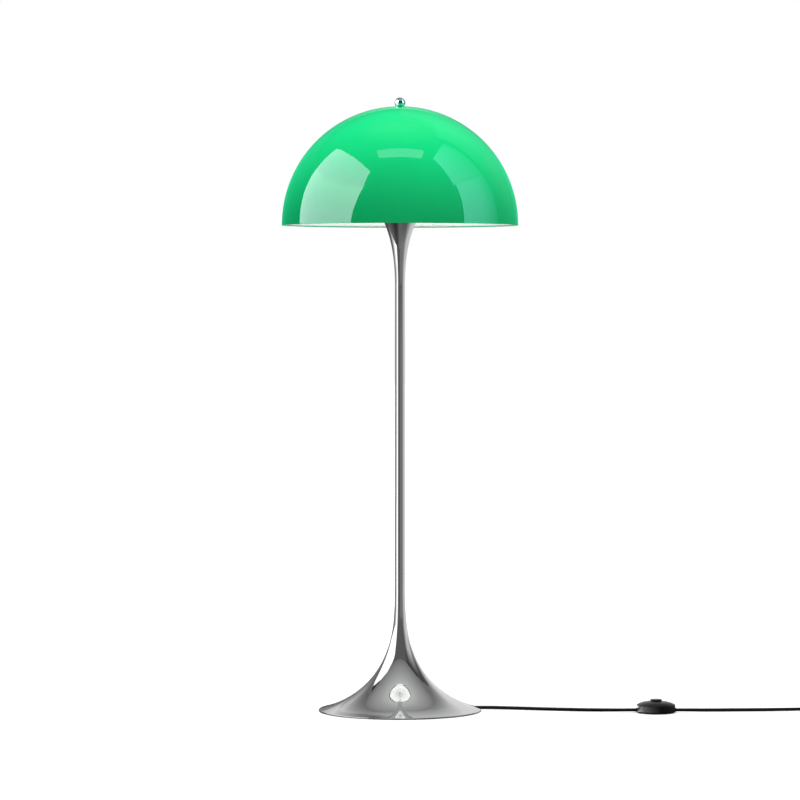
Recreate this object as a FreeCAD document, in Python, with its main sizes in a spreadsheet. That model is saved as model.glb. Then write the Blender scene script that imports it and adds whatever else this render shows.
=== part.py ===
import FreeCAD, Part
import math
import os

import Sketcher

# A floor lamp: trumpet foot, slim stem, trumpet flare and a hemispherical shade held by a ball nut.
# Millimetres, +Z up, origin on the floor under the stem. Every height is measured from the floor.

SIZES = {
    # shade
    "shade_radius": 250.0,
    "shade_rim_z": 1029.0,
    "shade_skirt": 1.5,
    "shell_wall": 2.0,
    "liner_gap": 0.2,
    "liner_wall": 0.8,
    "liner_rise": 2.5,
    "shade_hole": 4.2,
    "ball_radius": 11.25,
    "ball_above_shade": 7.5,
    "washer_wall": 0.7,
    # chromed foot, stem and flare
    "stem_radius": 10.7,
    "sheet_wall": 1.2,
    "foot_radius": 172.6,
    "foot_bead_radius": 1.4,
    "foot_bead_z": 1.95,
    "foot_joint_z": 292.0,
    "flare_joint_z": 897.0,
    "flare_radius": 90.0,
    "flare_rim_z": 1105.0,
    # inside the foot
    "felt_wall": 1.2,
    "felt_radius": 146.0,
    "plate_wall": 1.5,
    "plate_radius": 148.0,
    "weight_radius": 118.0,
    "weight_base_z": 12.5,
    "weight_web_z": 44.0,
    "weight_top_z": 56.0,
    "weight_hollow": 36.0,
    "boss_radius": 9.0,
    "boss_circle": 85.0,
    # threaded tube and what it clamps
    "rod_radius": 5.0,
    "rod_bore": 4.1,
    "rod_foot_z": 35.0,
    "rod_top_z": 1066.0,
    "nut_height": 4.5,
    "nut_corner": 8.1,
    # carrier of the shade
    "carrier_z": 1052.0,
    "carrier_radius": 39.6,
    "carrier_wall": 2.0,
    "arm_radius": 2.5,
    "arm_foot": 30.0,
    "arm_reach": 76.0,
    "arm_head": 20.0,
    "hub_z": 1268.0,
    "hub_radius": 25.0,
    "hub_wall": 3.0,
    "stud_radius": 3.0,
    "seat_radius": 20.0,
    # lampholder and bulb
    "holder_z": 1058.5,
    "core_z": 1076.0,
    "core_wall": 10.0,
    "cap_radius": 13.05,
    "globe_radius": 47.5,
    "globe_z": 1176.0,
    "neck_radius": 12.4,
    "neck_curve": 20.0,
    "glass_wall": 0.8,
    # foot switch
    "switch_x": 541.0,
    "switch_y": -37.0,
    "switch_radius": 40.8,
    "switch_button": 12.2,
    "switch_top_z": 28.4,
    "switch_cord_z": 5.6,
    # cord
    "cord_radius": 3.5,
    "cord_z": 3.6,
    "cord_azimuth": 9.6,
    "coil_x": 910.0,
    "coil_y": 35.0,
    "coil_inner": 31.0,
    "coil_outer": 46.0,
    "coil_pitch": 7.5,
    "coil_base_z": 4.4,
    "tie_wall": 0.8,
}

doc = FreeCAD.newDocument("mushroom_floor_lamp")
sheet = doc.addObject("Spreadsheet::Sheet", "Sizes")
parts = {}


class Length:
    """A size from the sheet, or sums and products of them: its expression and its value."""

    def __init__(self, text, value):
        self.text = text
        self.value = value

    def __add__(self, other):
        return joined(self, "+", other, self.value + number(other))

    def __radd__(self, other):
        return joined(other, "+", self, number(other) + self.value)

    def __sub__(self, other):
        return joined(self, "-", other, self.value - number(other))

    def __rsub__(self, other):
        return joined(other, "-", self, number(other) - self.value)

    def __mul__(self, other):
        return joined(self, "*", other, self.value * number(other))

    __rmul__ = __mul__


def number(size):
    return size.value if isinstance(size, Length) else float(size)


def text_of(size):
    return size.text if isinstance(size, Length) else repr(float(size))


def joined(left, sign, right, value):
    return Length("(%s %s %s)" % (text_of(left), sign, text_of(right)), value)


def root(size):
    return Length("sqrt(%s)" % size.text, math.sqrt(size.value))


class Sheet:
    """The sheet's sizes as named Lengths."""


S = Sheet()
for row, (alias, value) in enumerate(SIZES.items(), start=1):
    sheet.set("A%d" % row, alias)
    sheet.set("B%d" % row, str(value))
    sheet.setAlias("B%d" % row, alias)
    setattr(S, alias, Length("Sizes." + alias, value))
doc.recompute()


# ---------------------------------------------------------------- ways to make a piece

def keep(name, feature):
    feature.Label = name
    parts[name] = feature
    return feature


def bind(feature, prop, size):
    if isinstance(size, Length):
        feature.setExpression(prop, size.text)


def put(feature, x=0.0, y=0.0, z=0.0, turn=None):
    """Places a feature at x, y, z, turned by a FreeCAD rotation."""
    rotation = turn or FreeCAD.Rotation()
    feature.Placement = FreeCAD.Placement(FreeCAD.Vector(number(x), number(y), number(z)), rotation)
    bind(feature, "Placement.Base.x", x)
    bind(feature, "Placement.Base.y", y)
    bind(feature, "Placement.Base.z", z)
    return feature


def hold(sketch, geometry, vertex, point):
    """Ties one vertex of a sketch to its two sizes."""
    axes = (("DistanceX", point[0], -2), ("DistanceY", point[1], -1))
    for kind, size, axis in axes:
        if number(size) == 0.0:
            sketch.addConstraint(Sketcher.Constraint("PointOnObject", geometry, vertex, axis))
            continue
        rule = Sketcher.Constraint(kind, -1, 1, geometry, vertex, number(size))
        index = sketch.addConstraint(rule)
        bind(sketch, "Constraints[%d]" % index, size)


def draw(sketch, outline):
    """Draws a closed outline. A point marked "via" bends the edge it lies on into an arc."""
    def flat(point):
        return FreeCAD.Vector(number(point[0]), number(point[1]), 0.0)

    count = len(outline)
    ends = []
    for index, start in enumerate(outline):
        if len(start) == 3:
            continue
        following = outline[(index + 1) % count]
        if len(following) == 2:
            line = sketch.addGeometry(Part.LineSegment(flat(start), flat(following)), False)
            ends.append((line, 1, 2, start))
            continue
        finish = outline[(index + 2) % count]
        first, middle, last = flat(start), flat(following), flat(finish)
        left_turn = (middle - first).cross(last - middle).z > 0
        curve = Part.Arc(first, middle, last) if left_turn else Part.Arc(last, middle, first)
        arc = sketch.addGeometry(curve, False)
        mark = sketch.addGeometry(Part.Point(middle), True)
        hold(sketch, mark, 1, following)
        sketch.addConstraint(Sketcher.Constraint("PointOnObject", mark, 1, arc))
        ends.append((arc, 1, 2, start) if left_turn else (arc, 2, 1, start))
    for index, (edge, head, tail, corner) in enumerate(ends):
        following = ends[(index + 1) % len(ends)]
        link = Sketcher.Constraint("Coincident", edge, tail, following[0], following[1])
        sketch.addConstraint(link)
        hold(sketch, edge, head, corner)


def sketched(name, plane, outline):
    body = doc.addObject("PartDesign::Body", name)
    sketch = body.newObject("Sketcher::SketchObject", name + "_outline")
    base = [item for item in body.Origin.OriginFeatures if item.Role == plane][0]
    sketch.AttachmentSupport = (base, [""])
    sketch.MapMode = "FlatFace"
    draw(sketch, outline)
    return body, sketch


def turned(name, outline):
    """A body turned about the upright axis from an outline of (radius, height) points."""
    body, sketch = sketched(name, "XZ_Plane", outline)
    turn = body.newObject("PartDesign::Revolution", name + "_turn")
    turn.Profile = sketch
    turn.ReferenceAxis = (sketch, ["V_Axis"])
    turn.Angle = 360
    return body


def ring(name, inner, outer, low, high):
    """A plain ring, or a disc where inner is 0."""
    return turned(name, [(inner, low), (outer, low), (outer, high), (inner, high)])


def cylinder(name, radius, length):
    feature = doc.addObject("Part::Cylinder", name)
    feature.Radius = number(radius)
    feature.Height = number(length)
    bind(feature, "Radius", radius)
    bind(feature, "Height", length)
    return feature


def block(name, length, width, height):
    feature = doc.addObject("Part::Box", name)
    feature.Length = number(length)
    feature.Width = number(width)
    feature.Height = number(height)
    bind(feature, "Length", length)
    bind(feature, "Width", width)
    bind(feature, "Height", height)
    return feature


def fused(name, features):
    whole = doc.addObject("Part::MultiFuse", name)
    whole.Shapes = features
    return whole


def without(name, base, tools):
    cut = doc.addObject("Part::Cut", name)
    cut.Base = base
    cut.Tool = tools[0] if len(tools) == 1 else fused(name + "_tools", tools)
    return cut


def grouped(name, features):
    group = doc.addObject("Part::Compound", name)
    group.Links = features
    return group


def solid(name, shape):
    feature = doc.addObject("Part::Feature", name)
    feature.Shape = shape
    feature.Placement = FreeCAD.Placement()
    return keep(name, feature)


def around(count, radius, first_angle):
    """Points evenly spaced on a circle, as (x, y) sizes."""
    for step in range(count):
        angle = math.radians(first_angle + 360.0 * step / count)
        yield radius * math.cos(angle), radius * math.sin(angle)


# ---------------------------------------------------------------- tubes along a route

ARC_SHARE = 0.45        # share of the shorter run that an arc takes
SAME_SPOT = 1.0e-6


def unit(vector):
    return FreeCAD.Vector(vector).normalize()


def rounded_path(points, tight=None):
    """Straight runs joined by tangent arcs. tight gives the radius of a corner that has its own."""
    edges = []
    radii = []
    start = points[0]
    for index in range(1, len(points) - 1):
        back = points[index - 1] - points[index]
        ahead = points[index + 1] - points[index]
        half_turn = (math.pi - back.getAngle(ahead)) / 2.0
        radius = ARC_SHARE * min(back.Length, ahead.Length) / math.tan(half_turn)
        if tight and index in tight:
            radius = tight[index]
        reach = radius * math.tan(half_turn)
        first = points[index] + unit(back) * reach
        last = points[index] + unit(ahead) * reach
        inward = unit(unit(back) + unit(ahead))
        middle = points[index] + inward * (radius / math.cos(half_turn) - radius)
        edges.append(Part.LineSegment(start, first).toShape())
        edges.append(Part.Arc(first, middle, last).toShape())
        radii.append(radius)
        start = last
    edges.append(Part.LineSegment(start, points[-1]).toShape())
    return Part.Wire(edges), radii


def piped(path, start, direction, radius):
    circle = Part.Circle(start, direction, radius).toShape()
    pipe = Part.BRepOffsetAPI.MakePipeShell(path)
    pipe.add(Part.Wire([circle]))
    pipe.build()
    pipe.makeSolid()
    return pipe.shape()


def tube(name, points, radius, tight=None):
    path, radii = rounded_path(points, tight)
    shape = piped(path, points[0], points[1] - points[0], radius)
    expected = math.pi * radius * radius * path.Length
    print("%s: %.0f mm long, least radius %.0f mm, volume %.4f of section times length" % (
        name, path.Length, min(radii), shape.Volume / expected))
    return shape, path.Length


def biarc(start, start_way, end, end_way):
    """Two arcs that join two points with given directions."""
    span = end - start
    ways = start_way + end_way
    slope = span.dot(ways)
    spread = 2.0 * (1.0 - start_way.dot(end_way))
    reach = (math.sqrt(slope * slope + spread * span.dot(span)) - slope) / spread
    joint = (start + start_way * reach + end - end_way * reach) * 0.5
    arcs = []
    for first, way, last in ((start, start_way, joint), (end, end_way * -1.0, joint)):
        chord = last - first
        along = unit(chord)
        side = way - along * way.dot(along)
        rise = 0.5 * chord.Length * math.tan(way.getAngle(chord) / 2.0)
        middle = first + chord * 0.5 + unit(side) * rise
        arcs.append(Part.Arc(first, middle, last).toShape())
    return arcs


def wound_edges(stations):
    edges = []
    for (start, start_way), (end, end_way) in zip(stations, stations[1:]):
        edges.extend(biarc(start, start_way, end, end_way))
    return edges


def least_gap(edges, diameter, step):
    """The least clear distance of a wound tube to itself, measured on points."""
    wire = Part.Wire(Part.__sortEdges__(edges))
    points = wire.discretize(Distance=step)
    skip = int(2.0 * diameter / step) + 1
    least = min(
        points[low].distanceToPoint(points[high])
        for low in range(len(points))
        for high in range(low + skip, len(points)))
    return least - diameter


# ---------------------------------------------------------------- foot, stem and flare

HALF_ROOT = math.sqrt(0.5)
LIP = 0.6               # depth of the rounded edge of the flare
JOINT_BEVEL = 0.4       # bevel that shows as a fine line where two tubes meet


def trumpet(outer_poles, inner_poles, neck_end, lip_middle):
    """A turned sheet: a straight neck, a Bezier sweep outside and inside, and a rim rounded through lip_middle.

    Both lists hold (radius, height) poles from the neck to the rim.
    """
    def upright(pole):
        return FreeCAD.Vector(pole[0], 0.0, pole[1])

    outer = Part.BezierCurve()
    outer.setPoles([upright(pole) for pole in outer_poles])
    inner = Part.BezierCurve()
    inner.setPoles([upright(pole) for pole in inner_poles])
    neck_outer, neck_inner = outer_poles[0][0], inner_poles[0][0]
    toward_sweep = 1.0 if outer_poles[0][1] > neck_end else -1.0
    bevel = upright((neck_outer, neck_end + toward_sweep * JOINT_BEVEL))
    lip_out, lip_in = outer_poles[-1], inner_poles[-1]
    edges = [
        outer.toShape(),
        Part.Arc(upright(lip_out), upright(lip_middle), upright(lip_in)).toShape(),
        inner.toShape(),
        Part.LineSegment(upright(inner_poles[0]), upright((neck_inner, neck_end))).toShape(),
        Part.LineSegment(
            upright((neck_inner, neck_end)),
            upright((neck_outer - JOINT_BEVEL, neck_end))).toShape(),
        Part.LineSegment(upright((neck_outer - JOINT_BEVEL, neck_end)), bevel).toShape(),
        Part.LineSegment(bevel, upright(outer_poles[0])).toShape(),
    ]
    profile = Part.Face(Part.Wire(Part.__sortEdges__(edges)))
    return profile.revolve(FreeCAD.Vector(), FreeCAD.Vector(0, 0, 1), 360)


def exit_frame():
    """The turn about the upright axis that brings +X onto the line of the cord exit."""
    return FreeCAD.Rotation(FreeCAD.Vector(0, 0, 1), S.cord_azimuth.value)


def exit_point(reach, height):
    return exit_frame().multVec(FreeCAD.Vector(reach, 0.0, height))


NOTCH_FROM = 140.0      # the rim notch of the cord, along the exit line
NOTCH_WIDTH = 9.4
NOTCH_HEIGHT = 8.6
SLOT_FROM = 90.0        # the slot of plate and felt under the cord
SLOT_WIDTH = 8.8
CUT_LENGTH = 60.0


def exit_cut(name, start, width, height):
    """A cutting block along the cord exit, standing on the floor."""
    cutter = block(name, CUT_LENGTH, width, height)
    corner = exit_frame().multVec(FreeCAD.Vector(start, -width / 2.0, 0.0))
    return put(cutter, corner.x, corner.y, 0.0, exit_frame())


RIM_SLOPE = math.radians(13.2)      # of the foot's sheet where it runs into its bead


def make_foot_shell():
    """The foot's sheet, whose edge is rolled outward into a bead that it meets along the bead's tangent."""
    wall = S.sheet_wall.value
    radius = S.stem_radius.value
    bead = S.foot_bead_radius.value
    centre = (S.foot_radius.value - bead, S.foot_bead_z.value)
    outward, upward = math.sin(RIM_SLOPE), math.cos(RIM_SLOPE)

    def on_bead(out, along):
        """A point by its distance from the bead's centre across the sheet and along it, towards the stem."""
        return (centre[0] + out * outward - along * upward, centre[1] + out * upward + along * outward)

    under = bead - wall
    outer = [(radius, 261.4), (radius, 155.2), (21.7, 141.1), (38.7, 34.4), on_bead(bead, 0.0)]
    inner = [(radius - wall, 261.4), (radius - wall, 155.2), (20.6, 140.2), (38.2, 33.1),
             on_bead(under, math.sqrt(bead * bead - under * under))]
    blank = doc.addObject("Part::Feature", "foot_shell_blank")
    blank.Shape = trumpet(outer, inner, S.foot_joint_z.value, on_bead(0.0, -bead))
    notch = exit_cut("foot_shell_notch", NOTCH_FROM, NOTCH_WIDTH, NOTCH_HEIGHT)
    keep("foot_shell", without("foot_shell", blank, [notch]))


def make_top_flare():
    wall = S.sheet_wall.value
    radius = S.stem_radius.value
    rim_radius, rim_z = S.flare_radius.value - LIP, S.flare_rim_z.value
    outer = [(radius, 904.4), (radius, 1031.4), (54.9, 1079.0), (rim_radius, rim_z)]
    inner = [(radius - wall, 904.4), (radius - wall, 1031.9), (54.2, 1080.1),
             (rim_radius - 0.7, rim_z + 1.0)]
    lip_middle = (outer[-1][0] + LIP, 0.5 * (outer[-1][1] + inner[-1][1]))
    solid("top_flare", trumpet(outer, inner, S.flare_joint_z.value, lip_middle))


def make_stem():
    radius, wall = S.stem_radius, S.sheet_wall
    low, high = S.foot_joint_z, S.flare_joint_z
    keep("stem_tube", turned("stem_tube", [
        (radius - wall, low), (radius - JOINT_BEVEL, low), (radius, low + JOINT_BEVEL),
        (radius, high - JOINT_BEVEL), (radius - JOINT_BEVEL, high), (radius - wall, high)]))
    bush_half = 20.0
    fit = 0.05
    for name, joint in (("stem_bush_lower", low), ("stem_bush_upper", high)):
        keep(name, ring(name, S.rod_radius + fit, radius - wall - fit,
                        joint - bush_half, joint + bush_half))
    keep("tie_rod", ring("tie_rod", S.rod_bore, S.rod_radius, S.rod_foot_z, S.rod_top_z))


def hex_nut(name, low, height):
    """A hexagon nut on the threaded tube."""
    prism = doc.addObject("Part::Prism", name + "_prism")
    prism.Polygon = 6
    prism.Circumradius = S.nut_corner.value
    prism.Height = number(height)
    bind(prism, "Circumradius", S.nut_corner)
    bind(prism, "Height", height)
    put(prism, z=low)
    bore = put(cylinder(name + "_bore", S.rod_radius, height), z=low)
    keep(name, without(name, prism, [bore]))


PLATE_SCREW_HEAD = 3.7
PLATE_SCREW_SHANK = 2.0
PLATE_SCREW_END_Z = 20.0
BOSS_ANGLE = 60.0


def make_foot_inside():
    felt_top = S.felt_wall
    plate_top = S.felt_wall + S.plate_wall
    felt = ring("foot_felt_blank", 0, S.felt_radius, 0, felt_top)
    slot = exit_cut("foot_felt_slot", SLOT_FROM, SLOT_WIDTH, 2.0 * number(felt_top))
    keep("foot_felt", without("foot_felt", felt, [slot]))

    spots = list(around(3, S.boss_circle.value, BOSS_ANGLE))
    plate = ring("foot_plate_blank", 0, S.plate_radius, felt_top, plate_top)
    tools = [exit_cut("foot_plate_slot", SLOT_FROM, SLOT_WIDTH, 2.0 * number(plate_top))]
    clearance = 0.1
    for index, (x, y) in enumerate(spots):
        tools.append(countersink("foot_plate_hole%d" % index, x, y, clearance))
    for index, side in enumerate((-1.0, 1.0)):
        spot = exit_frame().multVec(FreeCAD.Vector(CLIP_AT, side * CLIP_SCREW_APART, 0.0))
        hole = cylinder("foot_plate_clip_hole%d" % index, CLIP_SHANK, 2.0 * number(plate_top))
        tools.append(put(hole, spot.x, spot.y, 0.0))
    keep("foot_plate", without("foot_plate", plate, tools))

    keep("foot_weight", make_weight(spots, plate_top))
    screws = [countersink("foot_plate_screw%d" % index, x, y, 0.0)
              for index, (x, y) in enumerate(spots)]
    keep("foot_plate_screws", grouped("foot_plate_screws", screws))

    washer_wall = 2.0
    keep("foot_washer", ring("foot_washer", S.rod_radius + clearance, 16.0,
                             S.weight_web_z - washer_wall, S.weight_web_z))
    hex_nut("foot_nut", S.weight_web_z - washer_wall - S.nut_height, S.nut_height)


def countersink(name, x, y, clearance):
    """A countersunk screw of the foot plate, or the hole for it."""
    low = S.felt_wall
    head = PLATE_SCREW_HEAD + clearance
    shank = PLATE_SCREW_SHANK + clearance
    screw = turned(name, [
        (0, low), (head, low), (shank, low + S.plate_wall), (shank, PLATE_SCREW_END_Z + clearance),
        (0, PLATE_SCREW_END_Z + clearance)])
    return put(screw, x, y)


def make_weight(spots, plate_top):
    """The cast ballast: a sloping disc, hollow in the middle for the cable, on three bosses."""
    body = turned("foot_weight_disc", [
        (S.weight_hollow, S.weight_base_z), (S.weight_radius, S.weight_base_z),
        (S.weight_radius, 20.6), (104.0, 26.0), (60.0, 41.0), (24.0, S.weight_top_z),
        (S.rod_radius + 0.2, S.weight_top_z), (S.rod_radius + 0.2, S.weight_web_z),
        (S.weight_hollow, S.weight_web_z)])
    bosses = []
    holes = []
    overlap = 2.0
    for index, (x, y) in enumerate(spots):
        height = S.weight_base_z - plate_top + overlap
        boss = cylinder("foot_weight_boss%d" % index, S.boss_radius, height)
        bosses.append(put(boss, x, y, plate_top))
        hole = cylinder("foot_weight_hole%d" % index, PLATE_SCREW_SHANK + 0.05, PLATE_SCREW_END_Z)
        holes.append(put(hole, x, y, 0.5))
    return without("foot_weight", fused("foot_weight_cast", [body] + bosses), holes)


CLIP_AT = 60.0          # the clip of the inner cable, along the exit line
CLIP_LENGTH = 12.0
CLIP_WIDTH = 26.0
CLIP_TOP_Z = 11.2
CLIP_SCREW_APART = 8.6
CLIP_SHANK = 1.4
INNER_CABLE_Z = 6.4
GROMMET_FROM = 138.0
GROMMET_TO = 149.0
GROMMET_RADIUS = 4.3


def make_cord_exit():
    """The bush in the notch, the clip over the cable and the cable up to the lampholder."""
    cord = S.cord_radius.value
    low = S.cord_z.value
    along = exit_frame().multiply(FreeCAD.Rotation(FreeCAD.Vector(0, 1, 0), 90))

    bush = cylinder("cord_grommet_round", GROMMET_RADIUS, GROMMET_TO - GROMMET_FROM)
    start = exit_point(GROMMET_FROM, low)
    put(bush, start.x, start.y, S.cord_z, along)
    under = block("cord_grommet_floor", 4.0 * cord, 4.0 * cord, 2.0 * cord)
    corner = exit_frame().multVec(FreeCAD.Vector(GROMMET_FROM - 0.5, -2.0 * cord, 0.0))
    put(under, corner.x, corner.y, 0.4 - 2.0 * cord, exit_frame())
    keep("cord_grommet", without("cord_grommet", bush, [under]))

    plate_top = S.felt_wall + S.plate_wall
    bridge = block("cord_clip_block", CLIP_LENGTH, CLIP_WIDTH, CLIP_TOP_Z - plate_top)
    corner = exit_frame().multVec(
        FreeCAD.Vector(CLIP_AT - CLIP_LENGTH / 2.0, -CLIP_WIDTH / 2.0, 0.0))
    put(bridge, corner.x, corner.y, plate_top, exit_frame())
    room = cord + 0.15
    start = exit_frame().multVec(FreeCAD.Vector(CLIP_AT - CLIP_LENGTH, 0.0, 0.0))
    tunnel = cylinder("cord_clip_tunnel", room, 2.0 * CLIP_LENGTH)
    put(tunnel, start.x, start.y, INNER_CABLE_Z, along)
    opening = block("cord_clip_opening", 2.0 * CLIP_LENGTH, 2.0 * room, INNER_CABLE_Z)
    corner = exit_frame().multVec(FreeCAD.Vector(CLIP_AT - CLIP_LENGTH, -room, 0.0))
    put(opening, corner.x, corner.y, 0.0, exit_frame())
    tools = [tunnel, opening]
    screws = []
    head_radius = 2.6
    head_height = 0.9
    for index, side in enumerate((-1.0, 1.0)):
        spot = exit_frame().multVec(FreeCAD.Vector(CLIP_AT, side * CLIP_SCREW_APART, 0.0))
        hole = cylinder("cord_clip_hole%d" % index, CLIP_SHANK + 0.1, 2.0 * CLIP_TOP_Z)
        tools.append(put(hole, spot.x, spot.y, 0.0))
        screw = turned("cord_clip_screw%d" % index, [
            (0, S.felt_wall + 0.1), (CLIP_SHANK, S.felt_wall + 0.1), (CLIP_SHANK, CLIP_TOP_Z),
            (head_radius, CLIP_TOP_Z), (head_radius, CLIP_TOP_Z + head_height),
            (0, CLIP_TOP_Z + head_height)])
        screws.append(put(screw, spot.x, spot.y))
    keep("cord_clip", without("cord_clip", bridge, tools))
    keep("cord_clip_screws", grouped("cord_clip_screws", screws))

    bend = S.rod_foot_z.value - INNER_CABLE_Z - 0.3
    route = [
        exit_point(GROMMET_FROM, low),
        exit_point(120.0, low),
        exit_point(96.0, INNER_CABLE_Z),
        exit_point(0.0, INNER_CABLE_Z),
        FreeCAD.Vector(0.0, 0.0, S.core_z.value - 0.3),
    ]
    shape, _ = tube("inner_cord", route, cord, {3: bend})
    solid("inner_cord", shape)


# ---------------------------------------------------------------- carrier, lampholder and bulb

def make_carrier():
    """A plate clamped in the flare, three arms round the bulb and a hub with the shade's stud."""
    low = S.carrier_z
    high = low + S.carrier_wall
    rod = S.rod_radius + 0.1
    keep("carrier_plate", turned("carrier_plate", [
        (rod, low), (S.carrier_radius - 0.9, low), (S.carrier_radius, high), (rod, high)]))
    hub_top = S.hub_z + S.hub_wall
    keep("carrier_hub", ring("carrier_hub", S.stud_radius, S.hub_radius, S.hub_z, hub_top))
    rise = 24.0
    shoulder_z = 1124.0
    head_z = 1214.0
    under_hub = 14.0
    bends = {1: 18.0, 2: 22.0, 3: 30.0, 4: 9.0}
    arms = []
    for x, y in around(3, 1.0, 0.0):
        way = FreeCAD.Vector(x, y, 0.0)
        upward = FreeCAD.Vector(0.0, 0.0, 1.0)
        route = [
            way * S.arm_foot.value + upward * high.value,
            way * S.arm_foot.value + upward * (high.value + rise),
            way * S.arm_reach.value + upward * shoulder_z,
            way * S.arm_reach.value + upward * head_z,
            way * S.arm_head.value + upward * (S.hub_z.value - under_hub),
            way * S.arm_head.value + upward * S.hub_z.value,
        ]
        path, _ = rounded_path(route, bends)
        arms.append(piped(path, route[0], upward, S.arm_radius.value))
    solid("carrier_arms", Part.makeCompound(arms))
    stud_top = apex_height() + 9.5
    keep("carrier_stud", ring("carrier_stud", 0, S.stud_radius, S.hub_z - 1.5, stud_top))

    inner = S.shade_radius - S.shell_wall - S.liner_gap - S.liner_wall - 0.3
    centre = S.shade_rim_z + S.shade_skirt
    bore = S.stud_radius + 0.2
    middle = S.seat_radius * 0.6
    keep("shade_seat", turned("shade_seat", [
        (bore, hub_top), (S.seat_radius, hub_top),
        (S.seat_radius, sphere_height(inner, S.seat_radius, centre)),
        (middle, sphere_height(inner, middle, centre), "via"),
        (bore, sphere_height(inner, bore, centre))]))


def sphere_height(radius, reach, centre):
    """Height of a sphere about the shade's centre, at a given distance from its axis."""
    return root(radius * radius - reach * reach) + centre


def apex_height():
    return S.shade_rim_z + S.shade_skirt + S.shade_radius


def make_lampholder():
    hex_nut("holder_nut", S.carrier_z + S.carrier_wall, S.holder_z - S.carrier_z - S.carrier_wall)
    low = S.holder_z
    rod = S.rod_radius + 0.05
    keep("holder_cap", turned("holder_cap", [
        (rod, low), (9.0, low), (9.0, low + 4.5), (17.0, low + 8.5), (20.6, low + 14.5),
        (20.6, low + 29.5), (18.7, low + 29.5), (18.7, low + 15.5), (15.5, low + 11.0),
        (9.0, low + 7.5), (rod, low + 7.5)]))
    core_top = S.core_z + S.core_wall
    keep("holder_core", ring("holder_core", 0, 18.5, S.core_z, core_top))
    keep("holder_thread", turned("holder_thread", [
        (13.4, core_top), (16.5, core_top), (16.5, core_top + 1.0), (14.2, core_top + 1.0),
        (14.2, core_top + 26.0), (13.4, core_top + 26.0)]))
    sleeve_top = low + 63.5
    keep("holder_sleeve", turned("holder_sleeve", [
        (20.7, low + 20.0), (23.0, low + 20.0), (22.4, sleeve_top), (16.0, sleeve_top),
        (16.0, sleeve_top - 2.0), (20.7, sleeve_top - 3.0)]))
    keep("holder_contact", turned("holder_contact", [
        (0, core_top), (9.0, core_top), (9.0, core_top + 0.8), (4.0, core_top + 0.8),
        (3.6, core_top + 2.6), (0, core_top + 2.6)]))


def make_bulb():
    """A screw bulb: tip, black insulator, ribbed cap and a blown opal globe."""
    tip_z = S.core_z + S.core_wall + 2.8
    keep("bulb_contact", turned("bulb_contact", [
        (0, tip_z), (3.2, tip_z + 0.2), (4.6, tip_z + 1.4), (0, tip_z + 1.4)]))
    keep("bulb_insulator", turned("bulb_insulator", [
        (0, tip_z + 1.4), (4.6, tip_z + 1.4), (11.5, tip_z + 4.6), (11.5, tip_z + 6.0),
        (0, tip_z + 6.0)]))
    cap_low = tip_z + 4.6
    pitch = 3.6
    turns = 5
    depth = 0.9
    outline = [(11.6, cap_low), (S.cap_radius - depth, cap_low)]
    for step in range(turns):
        foot = cap_low + pitch * step
        outline.append((S.cap_radius, foot + pitch * 0.5, "via"))
        outline.append((S.cap_radius - depth, foot + pitch))
    cap_top = cap_low + pitch * turns + 4.5
    thin = 0.5
    outline += [
        (S.cap_radius, cap_low + pitch * turns + 1.0), (S.cap_radius, cap_top),
        (S.cap_radius - thin, cap_top), (S.cap_radius - thin, cap_top - 3.4),
        (11.6, cap_top - 5.4)]
    keep("bulb_cap", turned("bulb_cap", outline))

    def skin(inset):
        """Outline points of the glass, one inset inside the other."""
        globe = S.globe_radius - inset
        curve = S.neck_curve + inset
        neck = S.neck_radius - inset
        off = neck + curve
        drop = root((globe + curve) * (globe + curve) - off * off)
        share = globe.value / (globe.value + curve.value)
        touch = (off * share, S.globe_z - drop * share)
        bend_z = S.globe_z - drop
        way_r = touch[0].value - off.value
        way_z = touch[1].value - bend_z.value
        between = math.hypot(way_r - curve.value, way_z)
        middle = (off + curve * ((way_r - curve.value) / between), bend_z + curve * (way_z / between))
        return neck, bend_z, middle, touch, globe

    glass_foot = cap_top - 3.2
    neck, bend_z, middle, touch, globe = skin(0.0)
    neck_in, bend_in_z, middle_in, touch_in, globe_in = skin(S.glass_wall)
    keep("bulb_globe", turned("bulb_globe", [
        (neck_in, glass_foot), (neck, glass_foot), (neck, bend_z), middle + ("via",), touch,
        (globe, S.globe_z, "via"), (0, S.globe_z + globe),
        (0, S.globe_z + globe_in), (globe_in, S.globe_z, "via"), touch_in,
        middle_in + ("via",), (neck_in, bend_in_z)]))


# ---------------------------------------------------------------- shade and ball nut

def dome_outline(outer, inner, foot, centre, hole):
    """A hemispherical skin on a short straight skirt, with a hole at its top."""
    return [
        (inner, foot), (outer, foot), (outer, centre),
        (outer * HALF_ROOT, centre + outer * HALF_ROOT, "via"),
        (hole, sphere_height(outer, hole, centre)),
        (hole, sphere_height(inner, hole, centre)),
        (inner * HALF_ROOT, centre + inner * HALF_ROOT, "via"), (inner, centre)]


def make_shade():
    centre = S.shade_rim_z + S.shade_skirt
    outer = S.shade_radius
    inner = outer - S.shell_wall
    liner = inner - S.liner_gap
    lip_z = S.shade_rim_z + 0.5
    shell = dome_outline(outer, inner, lip_z, centre, S.shade_hole)
    shell[0:2] = [(inner, lip_z), (inner + 0.5, S.shade_rim_z), (outer - 0.5, S.shade_rim_z),
                  (outer, lip_z)]
    keep("shade_shell", turned("shade_shell", shell))
    foot = S.shade_rim_z + S.liner_rise
    skin = liner - S.liner_wall
    keep("shade_liner", turned("shade_liner", liner_outline(liner, skin, foot, centre)))
    washer_low = apex_height() + 0.05
    keep("shade_washer", ring("shade_washer", S.stud_radius + 0.2, 7.8, washer_low,
                              apex_height() + S.washer_wall))


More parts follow.
